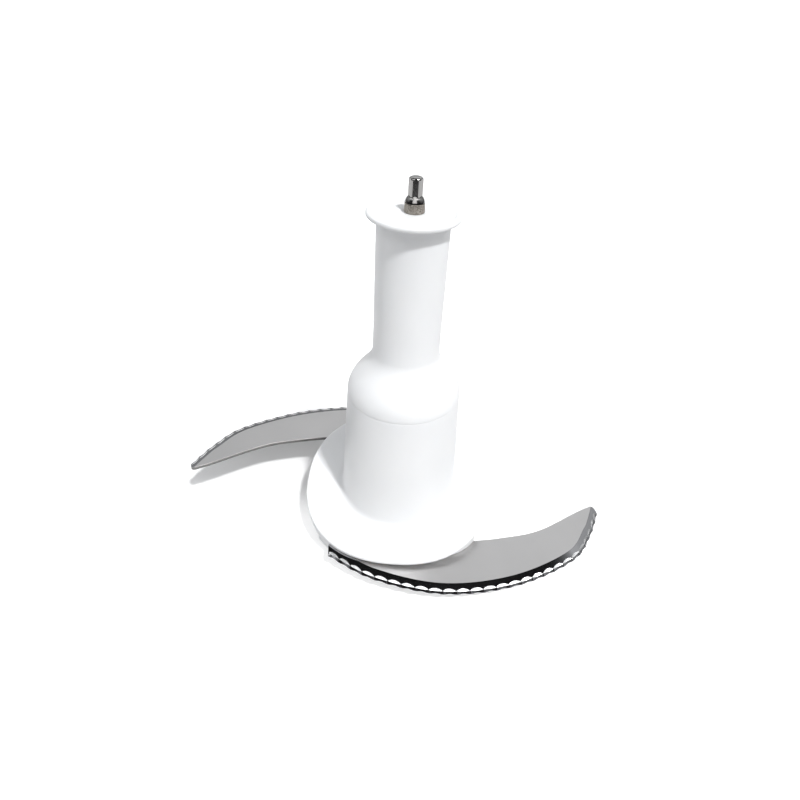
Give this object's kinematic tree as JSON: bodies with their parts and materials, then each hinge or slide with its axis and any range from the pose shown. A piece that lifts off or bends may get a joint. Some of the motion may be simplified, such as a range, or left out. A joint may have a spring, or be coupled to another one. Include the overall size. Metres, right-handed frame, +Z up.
{
  "type": "food processor chopping knife",
  "caption": "Chopping knife of a food processor: tall white hub on a tilted brim, curved serrated blades and a steel drive spindle.",
  "frame": {"origin": "on the hub's axis, at the plane of the foot ring that the knife stands on", "axes": "+Z up along the hub's axis; X from blade tip to blade tip, the lower blade's tip at +X; the lower blade's cutting edge bulges towards -Y"},
  "size_m": [0.1672, 0.0898, 0.1335],
  "materials": {
    "white_plastic": "white moulded plastic, soft gloss",
    "grey_plastic": "matte light grey plastic",
    "blade_steel": "satin stainless steel with a mirror-ground serrated bevel",
    "polished_steel": "polished stainless steel",
    "sintered_metal": "matte grey-beige sintered metal",
    "seal_rubber": "dark grey rubber"
  },
  "bodies": {
    "pivot": {"pivot_bush": "sintered_metal", "thrust_washer_upper": "grey_plastic", "thrust_washer_lower": "grey_plastic"},
    "rotor": {"hub_skirt": "white_plastic", "neck_shell": "white_plastic", "neck_cap": "white_plastic", "blade_carrier": "white_plastic", "bottom_cover": "white_plastic", "socket_core": "grey_plastic", "foot_seal": "seal_rubber", "lower_blade": "blade_steel", "lower_blade_pin_1": "polished_steel", "lower_blade_pin_2": "polished_steel", "upper_blade": "blade_steel", "upper_blade_pin_1": "polished_steel", "upper_blade_pin_2": "polished_steel", "spindle": "polished_steel", "drive_insert": "polished_steel", "spindle_clip": "polished_steel", "spindle_seal": "seal_rubber", "collar_washer": "white_plastic"},
    "collar": {"bearing_collar": "sintered_metal"}
  },
  "joints": [
    {"name": "knife_spin", "type": "hinge", "parent": "pivot", "child": "rotor", "pos_m": [0, 0, 0], "axis": [0, 0, 1], "continuous": true},
    {"name": "collar_spin", "type": "hinge", "parent": "rotor", "child": "collar", "pos_m": [0, 0, 0.125], "axis": [0, 0, 1], "continuous": true}
  ]
}
